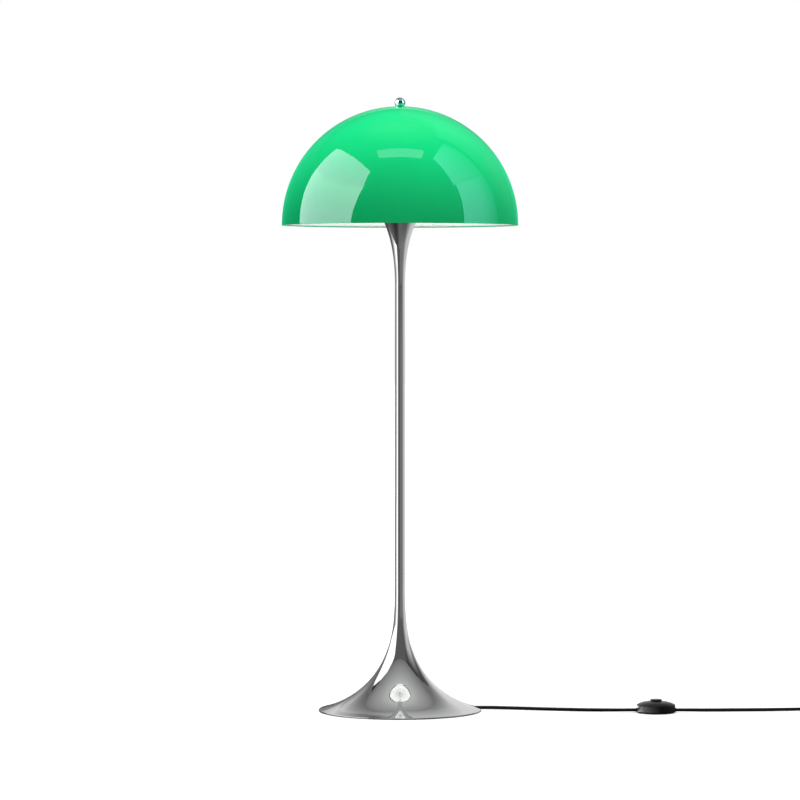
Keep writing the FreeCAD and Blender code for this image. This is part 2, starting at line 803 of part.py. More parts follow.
def liner_outline(outer, inner, foot, centre):
    """The liner starts above the rim, so its edge lies a little up the sphere."""
    def at(radius):
        rise = foot - centre
        return root(radius * radius - rise * rise)

    return [
        (at(inner), foot), (at(outer), foot),
        (outer * HALF_ROOT, centre + outer * HALF_ROOT, "via"),
        (S.shade_hole, sphere_height(outer, S.shade_hole, centre)),
        (S.shade_hole, sphere_height(inner, S.shade_hole, centre)),
        (inner * HALF_ROOT, centre + inner * HALF_ROOT, "via")]


def make_finial():
    """A polished ball with a flat underside and a blind bore for the stud."""
    centre = apex_height() + S.ball_above_shade
    flat = apex_height() + S.washer_wall + 0.1
    drop = centre - flat
    bore = S.stud_radius + 0.06
    bore_top = apex_height() + 10.0
    radius = S.ball_radius
    keep("finial_ball", turned("finial_ball", [
        (bore, flat), (root(radius * radius - drop * drop), flat), (radius, centre, "via"),
        (0, centre + radius), (0, bore_top), (bore, bore_top)]))


# ---------------------------------------------------------------- foot switch

SWITCH_POST_CIRCLE = 27.0
SWITCH_SPRING_LOW = 9.0
SWITCH_FLANGE_Z = 19.3


def at_switch(feature, z=0.0):
    return put(feature, S.switch_x, S.switch_y, z)


def cord_tunnels(name, radius, inner_reach):
    """Two short holes on the cord's line, one each side of the switch."""
    turn = FreeCAD.Rotation(FreeCAD.Vector(0, 1, 0), 90)
    length = 12.0
    tunnels = []
    for side, x in (("in", S.switch_x - inner_reach - length), ("out", S.switch_x + inner_reach)):
        hole = cylinder("%s_%s" % (name, side), radius, length)
        tunnels.append(put(hole, x, S.switch_y, S.switch_cord_z, turn))
    return tunnels


def make_switch():
    radius = S.switch_radius
    base = at_switch(turned("switch_base_blank", [
        (0, 0.6), (37.6, 0.6), (radius - 0.9, 1.5), (radius, 3.4), (radius - 2.2, 3.4),
        (radius - 2.2, 6.0), (radius - 4.2, 6.0), (radius - 4.2, 2.6), (0, 2.6)]))
    spots = list(around(3, SWITCH_POST_CIRCLE, 90.0))
    screw_holes = []
    screws = []
    for index, (x, y) in enumerate(spots):
        for suffix, room in (("hole", 0.1), ("", 0.0)):
            screw = turned("switch_screw%d%s" % (index, suffix), [
                (0, 0.6), (2.9 + room, 0.6), (1.4 + room, 2.1), (1.4 + room, 10.0 + room),
                (0, 10.0 + room)])
            put(screw, S.switch_x + x, S.switch_y + y)
            (screw_holes if suffix else screws).append(screw)
    keep("switch_base", without("switch_base", base,
                                screw_holes + cord_tunnels("switch_base_way", 4.5, 34.0)))
    keep("switch_screws", grouped("switch_screws", screws))
    keep("switch_cover", make_switch_cover(spots))
    make_switch_button()

    glands = [
        cylinder("switch_gland_in", 4.4, 8.0),
        cylinder("switch_gland_out", 4.4, 8.0),
    ]
    turn = FreeCAD.Rotation(FreeCAD.Vector(0, 1, 0), 90)
    starts = (S.switch_x - radius - 1.5, S.switch_x + radius - 6.5)
    for gland, start in zip(glands, starts):
        put(gland, start, S.switch_y, S.switch_cord_z, turn)
    keep("switch_glands", grouped("switch_glands", glands))
    feet = []
    for index, (x, y) in enumerate(around(4, 17.0, 45.0)):
        foot = ring("switch_foot%d" % index, 0, 5.0, 0, 0.6)
        feet.append(put(foot, S.switch_x + x, S.switch_y + y))
    keep("switch_feet", grouped("switch_feet", feet))


def make_switch_cover(spots):
    """A domed cover with a hole for the button and three screw posts inside."""
    radius = S.switch_radius
    hole = S.switch_button + 0.4
    wall = 2.0
    cover = at_switch(turned("switch_cover_blank", [
        (radius - wall, 3.5), (radius, 3.5), (radius, 15.8), (radius - 0.5, 17.0, "via"),
        (radius - 1.9, 18.0), (28.0, 22.3, "via"), (hole + 0.3, 24.2), (hole, 23.9), (hole, 21.6),
        (16.0, 21.6), (28.0, 20.1, "via"), (radius - wall - 1.0, 16.6), (radius - wall, 15.4)]))
    posts = []
    holes = []
    for index, (x, y) in enumerate(spots):
        post = cylinder("switch_post%d" % index, 4.0, 17.8)
        posts.append(put(post, S.switch_x + x, S.switch_y + y, 2.7))
        hole = cylinder("switch_post_hole%d" % index, 1.45, 10.0)
        holes.append(put(hole, S.switch_x + x, S.switch_y + y, 1.5))
    pry_slot = put(block("switch_pry_slot", 5.0, 4.0, 1.6), S.switch_x - 25.0, S.switch_y - 36.0, 3.0)
    tools = holes + cord_tunnels("switch_cover_way", 4.5, 34.0) + [pry_slot]
    return without("switch_cover", fused("switch_cover_cast", [cover] + posts), tools)


def make_switch_button():
    radius = S.switch_button
    top = S.switch_top_z
    keep("switch_button", at_switch(turned("switch_button", [
        (0, 13.5), (4.4, 13.5), (4.4, SWITCH_FLANGE_Z), (14.2, SWITCH_FLANGE_Z), (14.2, 21.2),
        (radius, 21.2), (radius, top - 1.2), (radius - 0.35, top - 0.35, "via"),
        (radius - 1.2, top), (0, top)])))
    half_length, half_width = 17.0, 11.0
    low = 2.7
    block_of = block("switch_contacts_block", 2 * half_length, 2 * half_width, SWITCH_SPRING_LOW - low)
    put(block_of, S.switch_x - half_length, S.switch_y - half_width, low)
    bore = at_switch(cylinder("switch_contacts_bore", 5.0, 6.0), 4.5)
    keep("switch_contacts", without("switch_contacts", block_of, [bore]))

    wire = 0.5
    coil_radius = 6.6
    turns = 5
    low = SWITCH_SPRING_LOW + wire + 0.1
    rise = SWITCH_FLANGE_Z - wire - 0.1 - low
    quarters = 4 * turns
    stations = []
    for step in range(quarters + 1):
        angle = step * math.pi / 2.0
        out = FreeCAD.Vector(math.cos(angle), math.sin(angle), 0.0)
        way = FreeCAD.Vector(-out.y, out.x, rise / (quarters * math.pi / 2.0 * coil_radius))
        middle = FreeCAD.Vector(S.switch_x.value, S.switch_y.value, low + rise * step / quarters)
        stations.append((middle + out * coil_radius, unit(way)))
    edges = wound_edges(stations)
    print("switch_spring: least gap %.2f mm" % least_gap(edges, 2.0 * wire, 0.5))
    shape = piped(Part.Wire(edges), stations[0][0], stations[0][1], wire)
    solid("switch_spring", shape)


# ---------------------------------------------------------------- cord, coil, tie and plug

LEAD_STRAIGHT_TO = 181.0


def lead_route():
    """From the rim notch to the switch, along the floor."""
    end_x = S.switch_x.value - S.switch_radius.value - 1.5
    low = S.cord_z.value
    return [
        exit_point(GROMMET_TO, low),
        exit_point(LEAD_STRAIGHT_TO, low),
        FreeCAD.Vector(222.0, 22.5, low),
        FreeCAD.Vector(272.0, 9.5, low),
        FreeCAD.Vector(330.0, -5.0, low),
        FreeCAD.Vector(386.0, -15.5, low),
        FreeCAD.Vector(440.0, -26.5, 4.3),
        FreeCAD.Vector(478.0, S.switch_y.value, S.switch_cord_z.value),
        FreeCAD.Vector(end_x, S.switch_y.value, S.switch_cord_z.value),
    ]


def tail_route():
    """From the switch past the edge of the view to the coil."""
    start_x = S.switch_x.value + S.switch_radius.value + 1.5
    coil_start_y = S.coil_y.value - S.coil_outer.value
    coil_start_x = S.coil_x.value - 2.0 * S.cord_radius.value
    low = S.cord_z.value
    coil_z = S.coil_base_z.value
    return [
        FreeCAD.Vector(start_x, S.switch_y.value, S.switch_cord_z.value),
        FreeCAD.Vector(604.0, S.switch_y.value, S.switch_cord_z.value),
        FreeCAD.Vector(642.0, -25.5, 4.1),
        FreeCAD.Vector(704.0, -17.0, low),
        FreeCAD.Vector(780.0, -13.8, low),
        FreeCAD.Vector(848.0, coil_start_y, coil_z),
        FreeCAD.Vector(coil_start_x, coil_start_y, coil_z),
    ]


def end_route():
    """From the top of the coil down to the plug beside it."""
    top = S.coil_base_z.value + 3.0 * S.coil_pitch.value
    start_y = S.coil_y.value - S.coil_outer.value
    start_x = S.coil_x.value + 2.0 * S.cord_radius.value
    return [
        FreeCAD.Vector(start_x, start_y, top),
        FreeCAD.Vector(start_x + 19.0, start_y, top),
        FreeCAD.Vector(969.0, -3.0, 14.0),
        FreeCAD.Vector(986.0, 25.0, 4.6),
        FreeCAD.Vector(PLUG_X, PLUG_RELIEF_Y - 22.0, PLUG_Z),
        FreeCAD.Vector(PLUG_X, PLUG_RELIEF_Y, PLUG_Z),
    ]


def coil_stations():
    """Quarter turns of the coil: four layers that spiral in, out, in and out again."""
    layers = 4
    turns = 2
    swing = S.coil_outer.value - S.coil_inner.value
    pitch = S.coil_pitch.value
    stations = []
    for step in range(4 * layers * turns + 1):
        angle = step * math.pi / 2.0
        layer_turns = step / 4.0 / turns
        layer = min(int(layer_turns), layers - 1)
        share = layer_turns - layer
        inward = layer % 2 == 0
        radius = S.coil_outer.value - swing * share if inward else S.coil_inner.value + swing * share
        reversing = step % (4 * turns) == 0
        drift = 0.0 if reversing else swing / (2.0 * math.pi * turns) * (-1.0 if inward else 1.0)
        at_end = step in (0, 4 * layers * turns)
        climbing = reversing and not at_end
        height = layer - (0.5 if climbing else 0.0)
        slope = 0.5 * pitch if climbing else 0.0
        out = FreeCAD.Vector(math.sin(angle), -math.cos(angle), 0.0)
        ahead = FreeCAD.Vector(math.cos(angle), math.sin(angle), 0.0)
        middle = FreeCAD.Vector(
            S.coil_x.value, S.coil_y.value, S.coil_base_z.value + pitch * height)
        way = ahead * radius + out * drift + FreeCAD.Vector(0.0, 0.0, slope)
        stations.append((middle + out * radius, unit(way)))
    return stations


def make_cords():
    radius = S.cord_radius.value
    total = 0.0
    for name, route in (
            ("cord_lead", lead_route()), ("cord_tail", tail_route()), ("cord_end", end_route())):
        shape, length = tube(name, route, radius)
        solid(name, shape)
        total += length

    straight = 2.0 * radius
    stations = coil_stations()
    first, way_in = stations[0]
    last, way_out = stations[-1]
    turns = wound_edges(stations)
    start = first - way_in * straight
    edges = [Part.LineSegment(start, first).toShape()] + turns
    edges.append(Part.LineSegment(last, last + way_out * straight).toShape())
    path = Part.Wire(edges)
    shape = piped(path, start, way_in, radius)
    ratio = shape.Volume / (math.pi * radius * radius * path.Length)
    print("cord_coil: %.0f mm long, least gap %.2f mm, volume %.4f of section times length" % (
        path.Length, least_gap(edges, 2.0 * radius, 3.0), ratio))
    solid("cord_coil", shape)
    print("cord from foot to plug: %.0f mm with its coil" % (total + path.Length))


def rounded_rectangle(half_width, half_height, corner, place):
    """A wire of four lines and four arcs in the local XZ plane, moved to its place."""
    bend = corner * (1.0 - HALF_ROOT)
    edges = []
    for turn in range(4):
        across, upward = (half_width, half_height) if turn % 2 == 0 else (half_height, half_width)
        points = (
            (across, corner - upward), (across, upward - corner),
            (across - bend, upward - bend), (across - corner, upward))
        corners = [FreeCAD.Vector(x, 0.0, z) for x, z in points]
        spin = FreeCAD.Rotation(FreeCAD.Vector(0, -1, 0), 90.0 * turn)
        first, second, middle, third = [place.multVec(spin.multVec(point)) for point in corners]
        edges.append(Part.LineSegment(first, second).toShape())
        edges.append(Part.Arc(second, middle, third).toShape())
    return Part.Wire(edges)


TIE_ANGLE = 140.0
TIE_WIDTH = 12.0
TIE_ROOM = 0.3


def make_tie():
    """The band that holds the coil together, round its four layers."""
    cord = S.cord_radius.value
    half_width = 0.5 * (S.coil_outer.value - S.coil_inner.value) + cord + TIE_ROOM
    low = S.coil_base_z.value - cord - 0.02
    high = S.coil_base_z.value + 3.0 * S.coil_pitch.value + cord + TIE_ROOM
    half_height = 0.5 * (high - low)
    wall = S.tie_wall.value
    spin = FreeCAD.Rotation(FreeCAD.Vector(0, 0, 1), TIE_ANGLE)
    reach = 0.5 * (S.coil_outer.value + S.coil_inner.value)
    middle = FreeCAD.Vector(S.coil_x.value, S.coil_y.value, 0.5 * (low + high))
    middle += spin.multVec(FreeCAD.Vector(reach, -0.5 * TIE_WIDTH, 0.0))
    place = FreeCAD.Placement(middle, spin)
    outer = rounded_rectangle(half_width + wall, half_height + wall, 3.5, place)
    inner = rounded_rectangle(half_width, half_height, 2.8, place)
    along = spin.multVec(FreeCAD.Vector(0.0, TIE_WIDTH, 0.0))
    band = Part.Face(outer).extrude(along).cut(Part.Face(inner).extrude(along))
    solid("cord_tie", band.Solids[0])


PLUG_X = 987.0
PLUG_RELIEF_Y = 84.0
PLUG_BODY_Y = 110.0
PLUG_FACE_Y = 146.0
PLUG_Z = 7.0
PIN_APART = 9.3
PIN_RADIUS = 2.0
PIN_LENGTH = 19.0
PIN_SLEEVE = 10.0
PIN_NOSE = 1.2


def make_plug():
    """A flat two-pin plug: tapered relief, rounded body, pins with insulated roots."""
    def section(y, half_width, half_height, corner):
        place = FreeCAD.Placement(FreeCAD.Vector(PLUG_X, y, PLUG_Z), FreeCAD.Rotation())
        return rounded_rectangle(half_width, half_height, corner, place)

    body = Part.makeLoft([
        section(PLUG_BODY_Y, 7.0, 5.6, 3.5),
        section(PLUG_BODY_Y + 15.0, 15.8, 6.7, 4.5),
        section(PLUG_FACE_Y - 3.0, 17.65, 6.9, 5.0),
        section(PLUG_FACE_Y, 17.0, 6.3, 4.6)], True, True)
    solid("plug_body", body)
    forward = FreeCAD.Vector(0, 1, 0)
    foot = FreeCAD.Vector(PLUG_X, PLUG_RELIEF_Y, PLUG_Z)
    relief = Part.makeCone(4.1, 5.2, PLUG_BODY_Y - PLUG_RELIEF_Y, foot, forward)
    groove_count = 5
    for step in range(groove_count):
        y = PLUG_RELIEF_Y + 3.0 + 4.4 * step
        place = FreeCAD.Vector(PLUG_X, y, PLUG_Z)
        groove = Part.makeCylinder(7.0, 1.4, place, forward)
        groove = groove.cut(Part.makeCylinder(3.7 + 0.16 * step, 1.4, place, forward))
        relief = relief.cut(groove)
    solid("plug_relief", relief)
    sleeves = []
    pins = []
    for side in (-1.0, 1.0):
        root_at = FreeCAD.Vector(PLUG_X + side * PIN_APART, PLUG_FACE_Y, PLUG_Z)
        sleeves.append(Part.makeCylinder(PIN_RADIUS, PIN_SLEEVE, root_at, forward))
        tip_at = root_at + forward * PIN_SLEEVE
        pin = Part.makeCylinder(PIN_RADIUS, PIN_LENGTH - PIN_SLEEVE - PIN_NOSE, tip_at, forward)
        nose_at = root_at + forward * (PIN_LENGTH - PIN_NOSE)
        nose = Part.makeCone(PIN_RADIUS, 0.5 * PIN_RADIUS, PIN_NOSE, nose_at, forward)
        pins.append(pin.fuse(nose))
    solid("plug_sleeves", Part.makeCompound(sleeves))
    solid("plug_pins", Part.makeCompound(pins))


# ---------------------------------------------------------------- build, test and write

def test_model():
    for feature in doc.Objects:
        if "Invalid" in feature.State or "Error" in feature.State:
            raise RuntimeError("%s did not rebuild: %s" % (feature.Name, feature.State))
    for name, feature in parts.items():
        if feature.Shape.isNull() or not feature.Shape.isValid() or not feature.Shape.Solids:
            raise RuntimeError("%s has no valid solid" % name)


def write_parts():
    os.makedirs("parts", exist_ok=True)
    for name, feature in parts.items():
        feature.Shape.exportStep("parts/%s.step" % name)


make_foot_shell()
make_foot_inside()
make_cord_exit()
make_stem()
make_top_flare()
make_carrier()
make_lampholder()
make_bulb()
make_shade()
make_finial()
make_switch()
make_cords()
make_tie()
make_plug()
doc.recompute()
test_model()
write_parts()
print("%d parts" % len(parts))
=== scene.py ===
"""A mushroom floor lamp on a pale studio floor: finishes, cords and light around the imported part.

Metres, +Z up, origin on the floor under the stem.
"""
import math

import bpy
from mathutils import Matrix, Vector


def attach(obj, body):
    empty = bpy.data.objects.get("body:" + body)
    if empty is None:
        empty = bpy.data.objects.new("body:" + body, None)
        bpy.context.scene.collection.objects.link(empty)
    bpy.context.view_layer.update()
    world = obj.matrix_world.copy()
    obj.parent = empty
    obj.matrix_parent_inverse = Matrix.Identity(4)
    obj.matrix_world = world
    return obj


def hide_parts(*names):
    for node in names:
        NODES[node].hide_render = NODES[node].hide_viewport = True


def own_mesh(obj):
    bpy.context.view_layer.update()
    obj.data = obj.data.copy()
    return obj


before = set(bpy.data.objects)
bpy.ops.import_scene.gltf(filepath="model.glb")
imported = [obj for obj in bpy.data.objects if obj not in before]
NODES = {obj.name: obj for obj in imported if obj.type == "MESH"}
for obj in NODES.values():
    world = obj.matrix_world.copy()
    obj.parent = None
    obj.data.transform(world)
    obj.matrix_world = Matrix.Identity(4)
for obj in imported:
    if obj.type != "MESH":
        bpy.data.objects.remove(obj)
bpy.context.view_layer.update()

MM = 0.001

# -------------------------------------------------- sizes and routes shared with the part

CORD_DIAMETER = 7.0 * MM
CORD_Z = 3.6
SWITCH = (541.0, -37.0)
SWITCH_CORD_Z = 5.6
COIL_CENTRE = (910.0, 35.0)
COIL_BASE_Z = 4.4
COIL_PITCH = 7.5
COIL_OUTER = 46.0
COIL_INNER = 31.0
COIL_LAYERS = 4
COIL_TURNS = 2
COIL_POINTS_A_TURN = 24
COIL_TOP_Z = COIL_BASE_Z + (COIL_LAYERS - 1) * COIL_PITCH
COIL_FRONT_Y = COIL_CENTRE[1] - COIL_OUTER
PLUG_X = 987.0
PLUG_Z = 7.0

LEAD_ROUTE = [
    (146.91, 24.85, CORD_Z),
    (178.47, 30.19, CORD_Z),
    (222.0, 22.5, CORD_Z),
    (272.0, 9.5, CORD_Z),
    (330.0, -5.0, CORD_Z),
    (386.0, -15.5, CORD_Z),
    (440.0, -26.5, 4.3),
    (478.0, SWITCH[1], SWITCH_CORD_Z),
    (498.7, SWITCH[1], SWITCH_CORD_Z),
]
TAIL_ROUTE = [
    (583.3, SWITCH[1], SWITCH_CORD_Z),
    (604.0, SWITCH[1], SWITCH_CORD_Z),
    (642.0, -25.5, 4.1),
    (704.0, -17.0, CORD_Z),
    (780.0, -13.8, CORD_Z),
    (848.0, COIL_FRONT_Y, COIL_BASE_Z),
    (903.0, COIL_FRONT_Y, COIL_BASE_Z),
]
END_ROUTE = [
    (917.0, COIL_FRONT_Y, COIL_TOP_Z),
    (936.0, COIL_FRONT_Y, COIL_TOP_Z),
    (969.0, -3.0, 14.0),
    (986.0, 25.0, 4.6),
    (PLUG_X, 62.0, PLUG_Z),
    (PLUG_X, 84.0, PLUG_Z),
]


def coil_points():
    """The turns of the coil: layers that spiral in and out, climbing where they reverse."""
    points = []
    steps = COIL_LAYERS * COIL_TURNS * COIL_POINTS_A_TURN
    swing = COIL_OUTER - COIL_INNER
    for step in range(steps + 1):
        angle = 2.0 * math.pi * step / COIL_POINTS_A_TURN
        layer_turns = step / COIL_POINTS_A_TURN / COIL_TURNS
        layer = min(int(layer_turns), COIL_LAYERS - 1)
        share = layer_turns - layer
        radius = COIL_OUTER - swing * share if layer % 2 == 0 else COIL_INNER + swing * share
        points.append((
            COIL_CENTRE[0] + radius * math.sin(angle),
            COIL_CENTRE[1] - radius * math.cos(angle),
            COIL_BASE_Z + COIL_PITCH * climbed(layer_turns)))
    return points


def climbed(layer_turns):
    """Layers climbed so far: level along one, rising a quarter turn each side of a reversal."""
    reversal = min(max(round(layer_turns), 1), COIL_LAYERS - 1)
    quarter = 0.25 / COIL_TURNS
    share = (layer_turns - reversal + quarter) / (2.0 * quarter)
    share = min(max(share, 0.0), 1.0)
    return reversal - 1 + share * share * (3.0 - 2.0 * share)


# -------------------------------------------------- finishes

def shader(name, colour, roughness, metallic=0.0):
    material = bpy.data.materials.new(name)
    material.use_nodes = True
    surface = material.node_tree.nodes["Principled BSDF"]
    surface.inputs["Base Color"].default_value = (*colour, 1.0)
    surface.inputs["Roughness"].default_value = roughness
    surface.inputs["Metallic"].default_value = metallic
    return material


def surface_of(material):
    return material.node_tree.nodes["Principled BSDF"]


def noise(material, scale):
    """A noise texture in the object's own metres, so that its grain has a real size."""
    nodes, links = material.node_tree.nodes, material.node_tree.links
    place = nodes.new("ShaderNodeTexCoord")
    texture = nodes.new("ShaderNodeTexNoise")
    texture.inputs["Scale"].default_value = scale
    texture.inputs["Detail"].default_value = 3.0
    links.new(place.outputs["Object"], texture.inputs["Vector"])
    return texture.outputs["Fac"]


NOISE_LOW = 0.3
NOISE_HIGH = 0.7


def vary(material, socket, texture, low, high):
    """The socket runs from low to high over the middle of the texture's range."""
    nodes, links = material.node_tree.nodes, material.node_tree.links
    span = nodes.new("ShaderNodeMapRange")
    span.inputs["From Min"].default_value = NOISE_LOW
    span.inputs["From Max"].default_value = NOISE_HIGH
    span.inputs["To Min"].default_value = low
    span.inputs["To Max"].default_value = high
    links.new(texture, span.inputs["Value"])
    links.new(span.outputs["Result"], surface_of(material).inputs[socket])


def tint(material, texture, first, second):
    """The base colour wanders between two colours with the texture."""
    nodes, links = material.node_tree.nodes, material.node_tree.links
    ramp = nodes.new("ShaderNodeValToRGB")
    ramp.color_ramp.elements[0].position = NOISE_LOW
    ramp.color_ramp.elements[0].color = (*first, 1.0)
    ramp.color_ramp.elements[1].position = NOISE_HIGH
    ramp.color_ramp.elements[1].color = (*second, 1.0)
    links.new(texture, ramp.inputs["Fac"])
    links.new(ramp.outputs["Color"], surface_of(material).inputs["Base Color"])


def bump(material, texture, depth):
    """Relief of that depth in metres."""
    nodes, links = material.node_tree.nodes, material.node_tree.links
    relief = nodes.new("ShaderNodeBump")
    relief.inputs["Strength"].default_value = 1.0
    relief.inputs["Distance"].default_value = depth
    links.new(texture, relief.inputs["Height"])
    links.new(relief.outputs["Normal"], surface_of(material).inputs["Normal"])


def make_chrome():
    chrome = shader("chrome", (0.72, 0.73, 0.725), 0.05, 1.0)
    vary(chrome, "Roughness", noise(chrome, 60.0), 0.035, 0.07)
    return chrome


def make_green():
    green = shader("green_shell", (0.009, 0.85, 0.265), 0.03)
    tint(green, noise(green, 9.0), (0.009, 0.83, 0.255), (0.009, 0.87, 0.275))
    vary(green, "Roughness", noise(green, 35.0), 0.02, 0.045)
    surface = surface_of(green)
    surface.inputs["Sheen Weight"].default_value = 1.0
    surface.inputs["Sheen Roughness"].default_value = 0.45
    surface.inputs["Sheen Tint"].default_value = (0.01, 0.9, 0.35, 1.0)
    return green


GRAIN_DEPTH = 0.02 * MM


def make_liner():
    liner = shader("white_liner", (0.93, 0.93, 0.92), 0.35)
    bump(liner, noise(liner, 900.0), GRAIN_DEPTH)
    return liner


def make_plain(name, colour, roughness, metallic=0.0, ior=1.5):
    plain = shader(name, colour, roughness, metallic)
    surface_of(plain).inputs["IOR"].default_value = ior
    vary(plain, "Roughness", noise(plain, 80.0), roughness * 0.8, roughness * 1.25)
    bump(plain, noise(plain, 1500.0), GRAIN_DEPTH)
    return plain


FINISHES = {
    "chrome": make_chrome(),
    "green_shell": make_green(),
    "white_liner": make_liner(),
    "white_plastic": make_plain("white_plastic", (0.85, 0.85, 0.83), 0.4),
    "porcelain": make_plain("porcelain", (0.88, 0.87, 0.84), 0.15),
    "black_plastic": make_plain("black_plastic", (0.008, 0.008, 0.0085), 0.3, ior=1.36),
    "cord_black": make_plain("cord_black", (0.011, 0.011, 0.012), 0.38),
    "rubber": make_plain("rubber", (0.014, 0.014, 0.014), 0.6),
    "tie_black": make_plain("tie_black", (0.016, 0.016, 0.017), 0.7),
    "steel": make_plain("steel", (0.56, 0.57, 0.58), 0.28, 1.0),
    "cast_iron": make_plain("cast_iron", (0.05, 0.05, 0.052), 0.6, 0.6),
    "brass": make_plain("brass", (0.78, 0.57, 0.26), 0.22, 1.0),
    "nickel": make_plain("nickel", (0.66, 0.63, 0.58), 0.18, 1.0),
    "solder": make_plain("solder", (0.5, 0.5, 0.5), 0.4, 1.0),
    "black_glass": make_plain("black_glass", (0.01, 0.01, 0.012), 0.08),
    "opal_glass": make_plain("opal_glass", (0.93, 0.92, 0.9), 0.1),
    "felt": make_plain("felt", (0.02, 0.02, 0.021), 0.95),
}


def dress_nodes():
    for node in NODES.values():
        for slot in node.material_slots:
            slot.material = FINISHES[slot.material.name]


# -------------------------------------------------- cords

def cord_curve(name, points):
    curve = bpy.data.curves.new(name, "CURVE")
    curve.dimensions = "3D"
    curve.bevel_depth = CORD_DIAMETER / 2.0
    curve.bevel_resolution = 6
    curve.resolution_u = 8
    curve.use_fill_caps = True
    spline = curve.splines.new("NURBS")
    spline.points.add(len(points) - 1)
    for point, place in zip(spline.points, points):
        point.co = (*(Vector(place) * MM), 1.0)
    spline.order_u = 3
    spline.use_endpoint_u = True
    spline.use_smooth = True
    cord = bpy.data.objects.new(name, curve)
    bpy.context.scene.collection.objects.link(cord)
    curve.materials.append(FINISHES["cord_black"])
    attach(cord, "stand")
    return cord


def make_cords():
    lead = cord_curve("flex_lead", LEAD_ROUTE)
    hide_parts("cord_lead")
    Vector(LEAD_ROUTE[0]) * MM

    main = cord_curve("flex_main", TAIL_ROUTE + coil_points() + END_ROUTE)
    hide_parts("cord_tail", "cord_coil", "cord_end")
    Vector(TAIL_ROUTE[0]) * MM


def squash_spring():
    """The spring under the button of the foot switch gets a mesh of its own."""
    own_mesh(NODES["switch_spring"])


# -------------------------------------------------- studio

CARD_COLUMNS = 24
CARD_ROWS = 12


def add_object(name, mesh):
    obj = bpy.data.objects.new(name, mesh)
    bpy.context.scene.collection.objects.link(obj)
    return obj


def between(pair, share):
    return pair[0] * (1.0 - share) + pair[1] * share


def blended(corners, across, up):
    """A value between four: bottom left, bottom right, top left, top right."""
    return between((between(corners[:2], across), between(corners[2:], across)), up)


def glow_material():
    material = bpy.data.materials.new("card_glow")
    material.use_nodes = True
    nodes, links = material.node_tree.nodes, material.node_tree.links
    nodes.clear()
    glow = nodes.new("ShaderNodeAttribute")
    glow.attribute_name = "glow"
    emission = nodes.new("ShaderNodeEmission")
    output = nodes.new("ShaderNodeOutputMaterial")
    links.new(glow.outputs["Color"], emission.inputs["Color"])
    links.new(emission.outputs["Emission"], output.inputs["Surface"])
    material.cycles.emission_sampling = "NONE"
    return material


CARD_GLOW = glow_material()
WHITE = (1.0, 1.0, 1.0)
FULL_TURN = (-180.0, 180.0)


def card(name, place, glow, tint=WHITE):
    """A card that only reflections see.

    place(across, up) is a point of it, and glow its brightness at each corner.
    """
    mesh = bpy.data.meshes.new(name)
    points = []
    levels = []
    for row in range(CARD_ROWS + 1):
        for column in range(CARD_COLUMNS + 1):
            across, up = column / CARD_COLUMNS, row / CARD_ROWS
            points.append(place(across, up))
            level = blended(glow, across, up)
            levels.extend((level * tint[0], level * tint[1], level * tint[2], 1.0))
    faces = []
    for row in range(CARD_ROWS):
        for column in range(CARD_COLUMNS):
            first = row * (CARD_COLUMNS + 1) + column
            faces.append((first, first + 1, first + CARD_COLUMNS + 2, first + CARD_COLUMNS + 1))
    mesh.from_pydata(points, [], faces)
    mesh.attributes.new("glow", "FLOAT_COLOR", "POINT").data.foreach_set("color", levels)
    mesh.materials.append(CARD_GLOW)
    obj = add_object(name, mesh)
    obj.visible_camera = False
    obj.visible_diffuse = False
    obj.visible_transmission = False
    obj.visible_volume_scatter = False
    obj.visible_shadow = False
    return obj


def on_ring(azimuth, reach, height):
    """A point by its azimuth in degrees, 0 in front of the lamp and 90 on its right."""
    angle = math.radians(azimuth)
    return (reach * math.sin(angle), -reach * math.cos(angle), height)


def wall(name, azimuths, heights, glow, tint=WHITE, reach=2.5):
    """A card bent about the lamp. azimuths and heights each hold four corners."""
    def place(across, up):
        return on_ring(blended(azimuths, across, up), reach, blended(heights, across, up))
    return card(name, place, glow, tint)


def upright(name, azimuths, heights, glow, tint=WHITE, reach=2.5):
    """A wall between two azimuths and two heights."""
    wall(name, azimuths * 2, (heights[0], heights[0], heights[1], heights[1]), glow, tint, reach)


def sector(name, height, azimuths, reaches, glow, tint=WHITE):
    """A level card between two azimuths. reaches has two values, or four for askew edges."""
    if len(reaches) == 2:
        reaches = (reaches[0], reaches[0], reaches[1], reaches[1])

    def place(across, up):
        return on_ring(between(azimuths, across), blended(reaches, across, up), height)
    return card(name, place, glow, tint)


def level(name, height, corners, glow, tint=WHITE, bow=0.0):
    """A level card between four points. bow carries its middle towards the front."""
    def place(across, up):
        x = blended([corner[0] for corner in corners], across, up)
        y = blended([corner[1] for corner in corners], across, up)
        return (x, y - bow * 4.0 * across * (1.0 - across), height)
    return card(name, place, glow, tint)


def even(value):
    return (value, value, value, value)


ROOM = 8.0
REACH = 2.5
REACH_STEP = 0.01
STEM_GAP = 0.26
SPLIT_Z = 1.0
ROOF_Z = 2.6
WALL_BEND_Z = 0.65
LEVEL_STEP = 0.004
MAT_Z = 0.0002
MAT_FROM = 0.172
MAT_REACH = 2.6
SWITCH_GLOW_REACHES = (0.045, 0.18)
CROWN_RADIUS = 0.65
CROWN_BACK = 0.35
COOL = (0.92, 1.0, 1.15)
COOL_ROOF = (1.0, 0.78, 1.22)
AQUA = (0.37, 1.0, 1.05)
ARC_TINT = (0.9, 0.9, 1.4)
BACK_TINT = (0.6, 1.3, 1.05)
BACK_LEFT_TINT = (0.35, 1.35, 1.0)
EDGE_TINT = (0.55, 1.15, 0.9)


